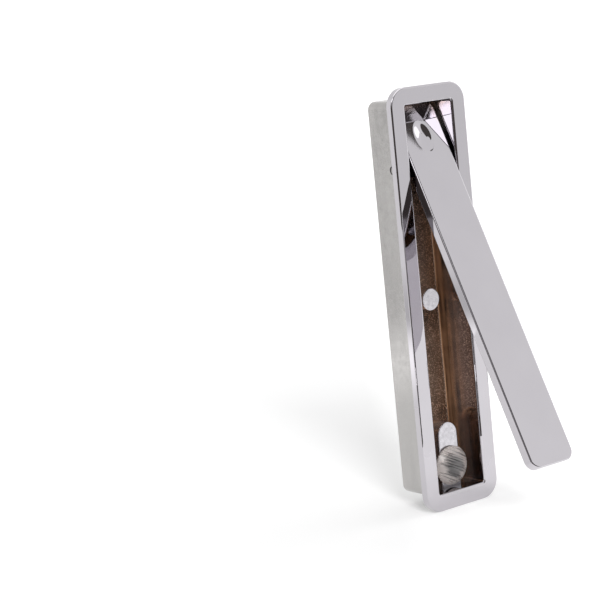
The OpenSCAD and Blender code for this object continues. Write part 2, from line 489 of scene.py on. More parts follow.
def measure(tree, operation, first, second=(0, 0, 0)):
    """The number that an operation makes of one or two vectors, given as values or as outputs."""
    made = add_node(tree, "ShaderNodeVectorMath", {0: first, 1: second}, operation=operation)
    return made.outputs["Value"]


def along_axis(tree, coordinates, axis):
    """How far along an axis a point lies."""
    return add_node(tree, "ShaderNodeSeparateXYZ", {"Vector": coordinates}).outputs[axis]


def spread(tree, value, low, high, from_low=NOISE_LOW, from_high=NOISE_HIGH):
    """Maps a value, such as a noise, from one range to another, and holds it inside."""
    span = {"Value": value, "From Min": from_low, "From Max": from_high, "To Min": low, "To Max": high}
    return add_node(tree, "ShaderNodeMapRange", span).outputs["Result"]


def between(tree, value, start=NOISE_LOW, end=NOISE_HIGH):
    """A share that grows from 0 at the start to 1 at the end."""
    return spread(tree, value, 0.0, 1.0, start, end)


def fade(tree, share, first, second):
    """A number that goes from the first to the second as the share goes from 0 to 1."""
    return spread(tree, share, first, second, 0.0, 1.0)


def noise(tree, coordinates, grains, detail=3.0):
    """Fractal noise with so many grains per metre, given for all axes or for each."""
    if isinstance(grains, tuple):
        squeezed = add_node(tree, "ShaderNodeMapping", {"Vector": coordinates, "Scale": grains})
        coordinates = squeezed.outputs["Vector"]
        grains = 1.0
    inputs = {"Vector": coordinates, "Scale": grains, "Detail": detail}
    return add_node(tree, "ShaderNodeTexNoise", inputs).outputs["Fac"]


def opaque(values, factor=1.0):
    """Four numbers from a colour of three, made lighter or darker."""
    return tuple(channel * factor for channel in values) + (1.0,)


def mix_colours(tree, share, first, second):
    """Mixes two colours, given as values or as outputs."""
    inputs = {MIX_SHARE: share, MIX_FIRST: first, MIX_SECOND: second}
    return add_node(tree, "ShaderNodeMix", inputs, data_type="RGBA").outputs[MIX_RESULT]


def two_tones(tree, share, tint, dark, light):
    """A mix of a darker and a lighter tone of one tint."""
    return mix_colours(tree, share, opaque(tint, dark), opaque(tint, light))


# Finishes


def new_finish(name, metal=0.0):
    """A material with its node tree, its surface shader and its object coordinates."""
    finish = bpy.data.materials.new(name)
    finish.use_nodes = True
    tree = finish.node_tree
    shader = tree.nodes["Principled BSDF"]
    shader.inputs["Metallic"].default_value = metal
    coordinates = add_node(tree, "ShaderNodeTexCoord").outputs["Object"]
    return finish, tree, shader, coordinates


def coat(tree, shader, tone, roughness, bumps):
    """Joins a colour, a roughness and bumps to the shader. A bump is a height and its rise in metres."""
    tree.links.new(tone, shader.inputs["Base Color"])
    tree.links.new(roughness, shader.inputs["Roughness"])
    normal = None
    for height, rise in bumps:
        inputs = {"Height": height, "Distance": rise, "Strength": 1.0}
        if normal:
            inputs["Normal"] = normal
        normal = add_node(tree, "ShaderNodeBump", inputs).outputs["Normal"]
    tree.links.new(normal, shader.inputs["Normal"])


def polished_chrome(name, tint, waves, rise):
    """Mirror bright plating with slow buffing waves, hairlines and a slight bloom."""
    finish, tree, shader, coordinates = new_finish(name, metal=1.0)
    bloom = noise(tree, coordinates, grains=90)
    smears = noise(tree, coordinates, grains=260)
    buffing = noise(tree, coordinates, grains=waves, detail=1.0)
    hairlines = noise(tree, coordinates, grains=(7000, 7000, 220), detail=2.0)
    coat(
        tree,
        shader,
        tone=two_tones(tree, bloom, tint, dark=0.96, light=1.04),
        roughness=spread(tree, smears, low=0.012, high=0.035),
        bumps=[(buffing, rise), (hairlines, 0.0000002)],
    )
    return finish


def cast_chrome(name, tint):
    """Plating over an unbuffed casting: duller, with flow marks along the length."""
    finish, tree, shader, coordinates = new_finish(name, metal=1.0)
    flow = noise(tree, coordinates, grains=(160, 160, 38))
    haze = noise(tree, coordinates, grains=700)
    grit = noise(tree, coordinates, grains=2600, detail=2.0)
    coat(
        tree,
        shader,
        tone=two_tones(tree, flow, tint, dark=0.82, light=1.16),
        roughness=spread(tree, haze, low=0.16, high=0.26),
        bumps=[(flow, 0.00006), (grit, 0.000002)],
    )
    return finish


def recess_wall_plating(name, tint, deep_tint, mouth_y, floor_y):
    """Plating that thins from bright chrome at the mouth to warm nickel, drawn in streaks along the tray; the
    darkening with depth is partly thin plating, partly painted shade.
    """
    finish, tree, shader, coordinates = new_finish(name)
    depth = between(tree, along_axis(tree, coordinates, "Y"), mouth_y, floor_y)
    # The walls darken and warm with depth: partly thin plating, partly painted shade of the recess
    thinning_and_shade = between(tree, depth, THIN_AND_SHADE_START, THIN_AND_SHADE_END)
    fillet_highlight = between(tree, depth, HIGHLIGHT_START, HIGHLIGHT_END)
    streaks = noise(tree, coordinates, grains=(600, 600, 26))
    streaking = between(tree, streaks, start=0.42, end=0.62)
    clouding = between(tree, noise(tree, coordinates, grains=110), start=0.38, end=0.62)
    patchy = two_tones(tree, clouding, deep_tint, dark=0.25, light=1.1)
    drawn = mix_colours(tree, streaking, patchy, opaque(deep_tint, factor=1.6))
    # Painted highlight: a lighter band on the walls just above the floor fillet
    wear_and_highlight = mix_colours(tree, fillet_highlight, drawn, opaque(deep_tint, factor=1.9))
    ripple = maths(tree, "MULTIPLY", streaks, thinning_and_shade)
    pitting = maths(tree, "MULTIPLY", noise(tree, coordinates, grains=2600), thinning_and_shade)
    tree.links.new(fade(tree, thinning_and_shade, 1.0, WALL_METAL), shader.inputs["Metallic"])
    coat(
        tree,
        shader,
        tone=mix_colours(tree, thinning_and_shade, opaque(tint), wear_and_highlight),
        roughness=fade(tree, thinning_and_shade, first=0.03, second=0.26),
        bumps=[(ripple, 0.00006), (pitting, 0.000006)],
    )
    return finish


def recess_floor_plating(name, tint):
    """Thin warm plating over the rough cast floor, with bright grains; its dark tone is partly plating and
    partly painted shade of the recess.
    """
    finish, tree, shader, coordinates = new_finish(name, metal=FLOOR_METAL)
    grain = noise(tree, coordinates, grains=3000)
    cloud = noise(tree, coordinates, grains=90)
    clouded = two_tones(tree, between(tree, cloud), tint, dark=0.4, light=1.0)
    glints = between(tree, grain, start=0.52, end=0.66)
    coat(
        tree,
        shader,
        tone=mix_colours(tree, glints, clouded, opaque(tint, factor=2.4)),
        roughness=spread(tree, cloud, low=0.24, high=0.38),
        bumps=[(cloud, 0.00005), (grain, 0.000016)],
    )
    return finish


def mottled_chrome(name, tint, end_z):
    """Chrome over an unbuffed cut face, mottled, with painted shade in the corner at the end wall."""
    finish, tree, shader, coordinates = new_finish(name, metal=1.0)
    grain = noise(tree, coordinates, grains=1100)
    mottled = two_tones(tree, between(tree, grain), tint, dark=0.84, light=1.1)
    height = along_axis(tree, coordinates, "Z")
    # Painted shade: the post darkens towards the corner where it meets the end wall
    corner_shade = spread(tree, height, 1.0, 0.0, end_z, end_z + CORNER_SHADE)
    coat(
        tree,
        shader,
        tone=mix_colours(tree, corner_shade, mottled, opaque(tint, factor=0.2)),
        roughness=spread(tree, grain, low=0.08, high=0.16),
        bumps=[(grain, 0.000004)],
    )
    return finish


def cut_metal(name, tint):
    """Bare metal with the fine rings that a cutting tool leaves."""
    finish, tree, shader, coordinates = new_finish(name, metal=1.0)
    rings = noise(tree, coordinates, grains=(9000, 1200, 1200), detail=2.0)
    coat(
        tree,
        shader,
        tone=two_tones(tree, rings, tint, dark=0.8, light=1.15),
        roughness=spread(tree, rings, low=0.22, high=0.42),
        bumps=[(rings, 0.000002)],
    )
    return finish


def moulded_nylon(name, tint):
    """Dull black plastic with a fine moulded grain."""
    finish, tree, shader, coordinates = new_finish(name)
    grain = noise(tree, coordinates, grains=4200)
    coat(
        tree,
        shader,
        tone=two_tones(tree, grain, tint, dark=0.7, light=1.4),
        roughness=spread(tree, grain, low=0.42, high=0.6),
        bumps=[(grain, 0.000005)],
    )
    return finish


def clear_plastic(name, tint, centre_tint, centre, reach):
    """Clear soft plastic, darker where the flap has rubbed its middle, with slanted scuffs."""
    finish, tree, shader, coordinates = new_finish(name)
    turn = (0.0, SCUFF_SLANT, 0.0)
    slanted = add_node(tree, "ShaderNodeMapping", {"Vector": coordinates, "Rotation": turn})
    scuffs = noise(tree, slanted.outputs["Vector"], grains=(100, 300, 1800))
    scuffing = between(tree, scuffs, start=0.38, end=0.62)
    cloud = noise(tree, coordinates, grains=420, detail=2.0)
    away = measure(tree, "DISTANCE", coordinates, centre)
    ragged = maths(tree, "ADD", away, spread(tree, scuffs, -SPOT_FRAY * reach, SPOT_FRAY * reach))
    rim = between(tree, ragged, SPOT_START * reach, SPOT_END * reach)
    hazed = two_tones(tree, cloud, tint, dark=0.86, light=1.06)
    scuffed = two_tones(tree, scuffing, centre_tint, dark=0.6, light=2.2)
    shader.inputs["Transmission Weight"].default_value = 0.65
    shader.inputs["IOR"].default_value = 1.49
    coat(
        tree,
        shader,
        tone=mix_colours(tree, rim, scuffed, hazed),
        roughness=spread(tree, scuffs, low=0.20, high=0.42),
        bumps=[(scuffs, 0.000016), (cloud, 0.000012)],
    )
    return finish


# Pieces that geometry trees grow


def new_tree(name, sizes):
    """An empty geometry tree with inputs for its sizes, places and finish, and the node that gives them."""
    tree = bpy.data.node_groups.new(name, "GeometryNodeTree")
    kinds = {
        "NodeSocketFloat": sizes,
        "NodeSocketVector": ("First Place", "Apart"),
        "NodeSocketMaterial": ("Finish",),
    }
    for kind, labels in kinds.items():
        for label in labels:
            tree.interface.new_socket(label, in_out="INPUT", socket_type=kind)
    tree.interface.new_socket("Geometry", in_out="OUTPUT", socket_type="NodeSocketGeometry")
    return tree, tree.nodes.new("NodeGroupInput").outputs


def end_tree(tree, given, shape, turn):
    """Ends a tree: turns the shape, sets a pair of them as real geometry, and gives them their finish."""
    aligned = add_node(tree, "GeometryNodeTransform", {"Geometry": shape, "Rotation": turn})
    pair = add_node(
        tree,
        "GeometryNodeMeshLine",
        {"Count": 2, "Start Location": given["First Place"], "Offset": given["Apart"]},
    )
    copies = add_node(
        tree,
        "GeometryNodeInstanceOnPoints",
        {"Points": pair.outputs["Mesh"], "Instance": aligned.outputs["Geometry"]},
    )
    real = add_node(tree, "GeometryNodeRealizeInstances", {"Geometry": copies.outputs["Instances"]})
    painted = add_node(
        tree,
        "GeometryNodeSetMaterial",
        {"Geometry": real.outputs["Geometry"], "Material": given["Finish"]},
    )
    tree.links.new(painted.outputs["Geometry"], tree.nodes.new("NodeGroupOutput").inputs[0])


def thread_tree():
    """A ridge that climbs in a helix, repeated in each screw hole."""
    tree, given = new_tree("thread", ("Radius", "Ridge", "Height", "Turns"))
    helix = add_node(
        tree,
        "GeometryNodeCurveSpiral",
        {
            "Resolution": THREAD_STEPS,
            "Rotations": given["Turns"],
            "Start Radius": given["Radius"],
            "End Radius": given["Radius"],
            "Height": given["Height"],
        },
    )
    upright = add_node(tree, "GeometryNodeSetCurveNormal", {"Curve": helix.outputs["Curve"]}, mode="Z_UP")
    profile = add_node(
        tree,
        "GeometryNodeCurvePrimitiveCircle",
        {"Resolution": RIDGE_SIDES, "Radius": given["Ridge"]},
    )
    ridge = add_node(
        tree,
        "GeometryNodeCurveToMesh",
        {"Curve": upright.outputs["Curve"], "Profile Curve": profile.outputs["Curve"], "Fill Caps": True},
    )
    end_tree(tree, given, ridge.outputs["Mesh"], turn=(math.pi / 2, 0, 0))
    return tree


def washer_tree():
    """A flat ring with round edges, repeated at both ends of the hinge."""
    tree, given = new_tree("washer", ("Middle Radius", "Rim", "Thickness", "Edge"))
    path = add_node(
        tree,
        "GeometryNodeCurvePrimitiveCircle",
        {"Resolution": TURN_STEPS, "Radius": given["Middle Radius"]},
    )
    section = add_node(
        tree,
        "GeometryNodeCurvePrimitiveQuadrilateral",
        {"Width": given["Rim"], "Height": given["Thickness"]},
    )
    rounded = add_node(
        tree,
        "GeometryNodeFilletCurve",
        {"Curve": section.outputs["Curve"], "Radius": given["Edge"]},
    )
    ring = add_node(
        tree,
        "GeometryNodeCurveToMesh",
        {"Curve": path.outputs["Curve"], "Profile Curve": rounded.outputs["Curve"]},
    )
    end_tree(tree, given, ring.outputs["Mesh"], turn=(0, math.pi / 2, 0))
    return tree


def grown_piece(name, tree, values):
    """An object that a geometry tree makes from the given inputs, as a plain mesh."""
    made = new_object(name, bpy.data.meshes.new(name))
    made.data.materials.append(values["Finish"])
    grow = made.modifiers.new("grow", "NODES")
    grow.node_group = tree
    for item in tree.interface.items_tree:
        if item.item_type == "SOCKET" and item.in_out == "INPUT":
            grow[item.identifier] = values[item.name]
    work_in(made)
    dress(made)
    return made


class HandleMakeThreads(bpy.types.Operator):
    """Build the tapped thread of the two screw holes"""

    bl_idname = "handle.make_threads"
    bl_label = "Make threads"

    def execute(self, context):
        size = context.scene.handle_tray
        ridge = (size.thread_diameter - size.thread_core) / 2
        height = size.tap_depth - 2 * ridge
        values = {
            "Radius": size.thread_diameter / 2,
            "Ridge": ridge,
            "Height": height,
            "Turns": height / size.thread_pitch,
            "First Place": (0.0, size.back_y - ridge, size.post_z),
            "Apart": (0.0, 0.0, -size.screw_spacing),
            "Finish": cut_metal("thread_bare_zinc", context.scene.handle_colours.zinc),
        }
        threads = grown_piece("tapped_threads", thread_tree(), values)
        seat(threads, "tray", [])
        return {"FINISHED"}


class HandleMakeWashers(bpy.types.Operator):
    """Build the two friction washers of the hinge"""

    bl_idname = "handle.make_washers"
    bl_label = "Make washers"

    def execute(self, context):
        small = context.scene.handle_small
        bore = context.scene.handle_flap.bore
        values = {
            "Middle Radius": (small.washer_diameter + bore) / 4,
            "Rim": (small.washer_diameter - bore) / 2,
            "Thickness": small.washer_thickness,
            "Edge": small.washer_edge,
            "First Place": (-small.washer_x, pivot.y, pivot.z),
            "Apart": (2 * small.washer_x, 0.0, 0.0),
            "Finish": moulded_nylon("washer_black_nylon", context.scene.handle_colours.nylon),
        }
        washers = grown_piece("friction_washers", washer_tree(), values)
        seat(washers, "tray", ["left_washer", "right_washer"])
        return {"FINISHED"}


# Tray


def floor_plane(size):
    """Depth of the floor of the recess."""
    return size.back_y - size.floor_thickness


def screw_heights(size):
    """Heights of the two screw holes."""
    return size.post_z, size.post_z - size.screw_spacing


def tray_skin(size):
    """The tray's shell in one sweep: back, box, flange, opening and floor."""
    floor_y = floor_plane(size)
    open_x = size.opening_width / 2
    open_z = size.opening_height / 2

    def box(inset, y):
        grown = size.wall - inset
        return rounded_loop(open_x + grown, open_z + grown, size.body_corner - inset, y)

    def flange(inset, y):
        half_width = size.flange_width / 2 - inset
        half_height = size.flange_height / 2 - inset
        return rounded_loop(half_width, half_height, size.flange_corner - inset, y)

    def opening(inset, y):
        return rounded_loop(open_x - inset, open_z - inset, size.opening_corner - inset, y)

    loops = [box(side, size.back_y - end) for side, end in round_edge(size.back_edge)]
    loops += [box(-end, side) for side, end in round_edge(size.root_fillet)]
    loops += [flange(side, -end) for side, end in round_edge(size.rear_edge)]
    loops += [flange(end, size.front_y + side) for side, end in round_edge(size.front_edge)]
    loops += [opening(-side, size.front_y + end) for side, end in round_edge(size.lip_edge)]
    loops += [opening(end, floor_y - side) for side, end in round_edge(size.floor_fillet)]
    return skin("tray", loops)


def post_sides(size, top):
    """Insets and depths down the side of a post, from its top edge to its root in the floor."""
    floor_y = floor_plane(size)
    steps = [(side, top + end) for side, end in round_edge(size.post_edge)]
    # The root stops short of a full quarter, so that it meets the floor in a clean crease
    steps += [(-end, floor_y - side) for side, end in round_edge(size.post_root)[:-3]]
    steps.append((steps[-1][0], floor_y + size.floor_thickness / 2))
    return steps


def round_post(size):
    """The round post over the upper screw hole."""
    profile = [(size.post_diameter / 2 - inset, y) for inset, y in post_sides(size, size.post_top)]
    return turned("post", profile, (0, 0, size.post_z), (0, 1, 0))


def oblong_post(size):
    """The oblong post: round at its upper end, and run into the end wall at its lower end."""
    round_z = size.post_z - size.screw_spacing
    foot_z = -size.opening_height / 2 - size.wall / 2
    loops = []
    for inset, y in post_sides(size, size.ledge_top):
        reach = size.ledge_width / 2 - inset
        loop = [Vector((reach, y, foot_z))]
        for step in range(2 * CORNER_STEPS + 1):
            angle = math.pi * step / (2 * CORNER_STEPS)
            loop.append(Vector((reach * math.cos(angle), y, round_z + reach * math.sin(angle))))
        loop.append(Vector((-reach, y, foot_z)))
        loops.append(loop)
    return skin("ledge", loops)


def screw_hole(size, screw_z):
    """A blind hole from the back with a countersunk mouth."""
    radius = size.thread_diameter / 2
    sink = size.thread_diameter / 8
    profile = [
        (radius, size.back_y - size.tap_depth),
        (radius, size.back_y - sink),
        (radius + sink, size.back_y),
        (radius + sink, size.back_y + OVER),
    ]
    return turned("screw_hole", profile, (0, 0, screw_z), (0, 1, 0))


def cross_hole(name, radius, reach):
    """A straight hole along the pivot, as far to either side as it reaches."""
    return turned(name, [(radius, -reach), (radius, reach)], pivot, (1, 0, 0))


def tray_zone(face, size):
    """The zone of the tray that a face lies in."""
    x, y, z = face.center
    hole = size.thread_diameter / 2 + SHARP
    in_hole = any(math.hypot(x, z - screw_z) < hole for screw_z in screw_heights(size))
    if in_hole and size.back_y - size.tap_depth - SHARP < y < size.back_y - SHARP:
        return "hole"
    within = abs(x) < size.opening_width / 2 + SHARP and abs(z) < size.opening_height / 2 + SHARP
    if within and size.front_y + size.lip_edge / 2 < y < floor_plane(size) + SHARP:
        if face.normal.y > WALL_LEAN:
            return "wall"
        return "post" if y < size.post_top + size.post_edge else "floor"
    return "box" if y > 0 else "face"


class HandleMakeTray(bpy.types.Operator):
    """Build the tray with its flange, recess, posts and holes"""

    bl_idname = "handle.make_tray"
    bl_label = "Make tray"

    def execute(self, context):
        size = context.scene.handle_tray
        tray = new_object("tray_shell", tray_skin(size))
        carve(tray, round_post(size), "UNION")
        carve(tray, oblong_post(size), "UNION")
        for screw_z in screw_heights(size):
            carve(tray, screw_hole(size, screw_z), "DIFFERENCE")
        pin_radius = context.scene.handle_small.pin_diameter / 2
        carve(tray, cross_hole("pin_hole", pin_radius + SHARP, size.flange_width / 2), "DIFFERENCE")
        finishes = self.zone_finishes(size, context.scene.handle_colours)
        dress(tray, *finishes.values())
        zones = list(finishes)
        for face in tray.data.polygons:
            face.material_index = zones.index(tray_zone(face, size))
        seat(tray, "tray", ["tray"])
        return {"FINISHED"}

    def zone_finishes(self, size, colours):
        """The finish of each zone of the tray."""
        return {
            "face": polished_chrome("tray_polished_chrome", colours.chrome, FLANGE_WAVES, FLANGE_RISE),
            "post": mottled_chrome("tray_mottled_chrome", colours.post_chrome, -size.opening_height / 2),
            "wall": recess_wall_plating(
                "tray_recess_walls", colours.chrome, colours.nickel, size.front_y, floor_plane(size)
            ),
            "floor": recess_floor_plating("tray_recess_floor", colours.dark_nickel),
            "box": cast_chrome("tray_cast_chrome", colours.cast_chrome),
            "hole": cut_metal("tray_bare_zinc", colours.zinc),
        }


# Pin and bumper


class HandleMakePin(bpy.types.Operator):
    """Build the steel pivot pin"""

    bl_idname = "handle.make_pin"
    bl_label = "Make pin"

    def execute(self, context):
        small = context.scene.handle_small
        radius = small.pin_diameter / 2
        half = small.pin_length / 2
        chamfer = small.pin_chamfer
        profile = [
            (radius - chamfer - HOLD, -half),
            (radius - chamfer, -half),
            (radius, chamfer - half),
            (radius, half - chamfer),
            (radius - chamfer, half),
            (radius - chamfer - HOLD, half),
        ]
        pin = new_object("hinge_pin", turned("hinge_pin", profile, pivot, (1, 0, 0)))
        dress(pin, cut_metal("pin_ground_steel", context.scene.handle_colours.steel))
        seat(pin, "tray", ["pivot_pin"])
        return {"FINISHED"}


class HandleMakeBumper(bpy.types.Operator):
    """Build the clear dome that the flap lands on"""

    bl_idname = "handle.make_bumper"
    bl_label = "Make bumper"

    def execute(self, context):
        small = context.scene.handle_small
        colours = context.scene.handle_colours
        radius = small.bumper_diameter / 2
        rise = small.bumper_height - small.bumper_foot
        dome = (radius**2 + rise**2) / (2 * rise)
        widest = math.asin(radius / dome)
        # The low straight side above the round edge needs no extra loop
        profile = [(radius - side, small.glue + end) for side, end in round_edge(small.bumper_edge)[:-1]]
        rings = 4 * EDGE_STEPS
        for ring in range(rings + 1):
            lean = widest * (1 - ring / rings)
            profile.append((dome * math.sin(lean), small.bumper_height - dome * (1 - math.cos(lean))))
        foot = (0, small.bumper_seat, small.bumper_z)
        top = (0, small.bumper_seat - small.bumper_height, small.bumper_z)
        bumper = new_object("dome_bumper", turned("dome_bumper", profile, foot, (0, -1, 0)))
        dress(bumper, clear_plastic("bumper_clear_plastic", colours.clear, colours.wear_and_highlight, top, radius))
        seat(bumper, "tray", ["bumper"])
        return {"FINISHED"}


# Flap


def flap_plate(size, front_y):
    """The flap's plate in its closed place, with its own edge radius at each end."""
    rear_y = front_y + size.thickness
    middle_z = (size.free_z + size.push_z) / 2
    outline = rounded_outline(size.width / 2, size.free_z, size.push_z, size.free_corner, size.push_corner)
    edges = []
    for point, out in outline:
        end_edge = size.push_edge if point.z > middle_z else size.free_edge
        edges.append(round_edge(size.side_edge + (end_edge - size.side_edge) * out.z**2))

    def loop(step, face_y, inwards):
        made = []
        for (point, out), edge in zip(outline, edges):
            side, end = edge[step]
            made.append(point - side * out + Vector((0, face_y + inwards * end, 0)))
        return made

    steps = range(len(edges[0]))
    loops = [loop(step, front_y, 1) for step in steps]
    loops += [loop(step, rear_y, -1) for step in reversed(steps)]
    return skin("flap_plate", loops)


def flap_lug(size, front_y, lug_x):
    """A hinge lug: an eye on the pivot and a web that widens up into the plate."""
    web_y = front_y + size.thickness / 2
    half_root = size.lug_root / 2
    half = size.lug_thickness / 2
    slope = Vector((0, half_root - size.lug_eye, pivot.y - web_y)).normalized()
    outline = [(Vector((0, web_y, pivot.z + half_root)), slope)]
    for step in range(4 * CORNER_STEPS + 1):
        angle = math.pi / 2 - math.pi * step / (4 * CORNER_STEPS)
        out = Vector((0, math.cos(angle), math.sin(angle)))
        outline.append((pivot + size.lug_eye * out, out))
    outline.append((Vector((0, web_y, pivot.z - half_root)), Vector((0, slope.y, -slope.z))))

    def loop(inset, x):
        return [Vector((lug_x + x, 0, 0)) + point - inset * out for point, out in outline]

    # The narrow side between the two round edges needs no extra loops
    edge = round_edge(size.lug_edge)[:-1]
    loops = [loop(side, end - half) for side, end in edge]
    loops += [loop(side, half - end) for side, end in reversed(edge)]
    return skin("flap_lug", loops)


def dish_tool(size, front_y):
    """A tool that prints the finger dish: a soft oval scoop that runs out level with the face."""

    def oval(share, y):
        loop = []
        for step in range(TURN_STEPS):
            angle = 2 * math.pi * step / TURN_STEPS
            across = share * size.dish_width / 2 * math.cos(angle)
            along = share * size.dish_length / 2 * math.sin(angle) + (1 - share) * size.dish_shift
            loop.append(Vector((across, y, size.dish_z + along)))
        return loop

    loops = [oval(1.0, front_y - OVER)]
    rings = 3 * EDGE_STEPS
    for ring in range(rings):
        share = 1 - ring / rings
        loops.append(oval(share, front_y + DISH_RIM + size.dish_depth * (1 - share**2) ** 2))
    return skin("dish_tool", loops)


def flap_swing(size):
    """The turn about the pivot that takes the flap from its closed place to its open one."""
    turn = Matrix.Rotation(-size.open_angle, 4, "X")
    return Matrix.Translation(pivot) @ turn @ Matrix.Translation(-pivot)


class HandleMakeFlap(bpy.types.Operator):
    """Build the push flap with its finger dish and hinge lugs"""

    bl_idname = "handle.make_flap"
    bl_label = "Make flap"

    def execute(self, context):
        size = context.scene.handle_flap
        chrome = context.scene.handle_colours.chrome
        front_y = context.scene.handle_tray.front_y
        flap = new_object("push_flap", flap_plate(size, front_y))
        for side in (-1, 1):
            carve(flap, flap_lug(size, front_y, side * size.lug_x), "UNION")
        carve(flap, dish_tool(size, front_y), "DIFFERENCE")
        carve(flap, cross_hole("bore", size.bore / 2, size.width), "DIFFERENCE")
        flap.data.transform(flap_swing(size))
        dress(flap, polished_chrome("flap_polished_chrome", chrome, FLAP_WAVES, FLAP_RISE))
        seat(flap, "flap", ["flap"])
        return {"FINISHED"}


# Stage


def from_front(azimuth, elevation):
    """The direction from the handle towards a point on the studio's walls, from angles in degrees."""
    turn = math.radians(azimuth)
    lift = math.radians(elevation)
    flat = math.cos(lift)
    return Vector((math.sin(turn) * flat, -math.cos(turn) * flat, math.sin(lift)))


def facing(direction):
    """The turn of a camera or lamp that stands in this direction and looks at the handle."""
    return (-direction).to_track_quat("-Z", "Y").to_matrix().to_4x4()


def camera_place():
    """The place of the camera."""
    return CAMERA_AIM + CAMERA_DISTANCE * from_front(CAMERA_AZIMUTH, CAMERA_ELEVATION)


def mirrored_place(point, normal):
    """The place on the studio's round wall that a mirror at the point shows to the camera."""
    ray = (point - camera_place()).reflect(normal).normalized()
    ahead = point.dot(ray)
    reach = math.sqrt(ahead**2 + CARD_DISTANCE**2 - point.length_squared) - ahead
    return point + reach * ray


def seen_ray(tree):
    """1 for the rays of the camera, of mirrors and of glass, and 0 for rays that only carry light."""
    path = add_node(tree, "ShaderNodeLightPath").outputs
    direct = maths(tree, "MAXIMUM", path["Is Camera Ray"], path["Is Glossy Ray"])
    return maths(tree, "MAXIMUM", direct, path["Is Transmission Ray"])


def bare_finish(name):
    """A material with no surface yet, its node tree and the socket that takes the surface."""
    finish = bpy.data.materials.new(name)
    finish.use_nodes = True
    tree = finish.node_tree
    tree.nodes.remove(tree.nodes["Principled BSDF"])
    return finish, tree, tree.nodes["Material Output"].inputs["Surface"]


def glowing(name, tint, strength=1.0):
    """A plain glowing surface for a studio card."""
    finish, tree, surface = bare_finish(name)
    glow = add_node(tree, "ShaderNodeEmission", {"Color": opaque(tint), "Strength": strength})
    tree.links.new(glow.outputs["Emission"], surface)
    return finish


def graded(name, stops, upwards=False):
    """A glow that changes with the distance or height of its stops, each with a tint and a factor for it."""
    finish = glowing(name, WHITE, BRIGHTEST)
    tree = finish.node_tree
    coordinates = add_node(tree, "ShaderNodeTexCoord").outputs["Object"]
    if upwards:
        distance = along_axis(tree, coordinates, "Z")
    else:
        distance = measure(tree, "LENGTH", coordinates)
    first = stops[0][0]
    last = stops[-1][0]
    ramp = add_node(tree, "ShaderNodeValToRGB", {"Fac": between(tree, distance, first, last)})
    ramp.color_ramp.interpolation = "EASE"
    elements = ramp.color_ramp.elements
    # New stops start in the middle, and find their places below
    while len(elements) < len(stops):
        elements.new(0.5)
    for element, (spot, tint, factor) in zip(elements, stops):
        element.position = (spot - first) / (last - first)
        element.color = opaque(tint, factor / BRIGHTEST)
    tree.links.new(ramp.outputs["Color"], tree.nodes["Emission"].inputs["Color"])
    return finish


def set_card(name, finish, rows):
    """A sheet over rows of points, which the chrome and the clear plastic show and the camera doesn't."""
    columns = len(rows[0])
    points = [point for row in rows for point in row]
    faces = []
    for start in range(0, len(points) - columns, columns):
        for here in range(start, start + columns - 1):
            faces.append((here, here + 1, here + columns + 1, here + columns))
    mesh = bpy.data.meshes.new(name)
    mesh.from_pydata(points, [], faces)
    mesh.materials.append(finish)
    card = new_object(name, mesh)
    card.visible_camera = False
    card.visible_diffuse = False
    card.visible_shadow = False


def steps_between(ends, count):
    """Evenly spaced values from one end to the other."""
    return [ends[0] + (ends[1] - ends[0]) * step / count for step in range(count + 1)]


def wall_card(name, finish, azimuths, elevations, distance=CARD_DISTANCE):
    """A card on the round wall of the studio, between two azimuths and two elevations in degrees."""
    turns = steps_between(azimuths, CARD_COLUMNS)
    rows = []
    for elevation in steps_between(elevations, CARD_ROWS):
        rows.append([distance * from_front(azimuth, elevation) for azimuth in turns])
    set_card(name, finish, rows)


def floor_card(name, finish, azimuths, distances, rise=CARD_RISE):
    """A card that lies just above the floor, between two azimuths in degrees and two distances."""
    above = Vector((0, 0, tray_low.z + rise))
    turns = steps_between(azimuths, CARD_COLUMNS)
    rows = []
    for distance in distances:
        rows.append([distance * from_front(azimuth, 0) + above for azimuth in turns])
    set_card(name, finish, rows)


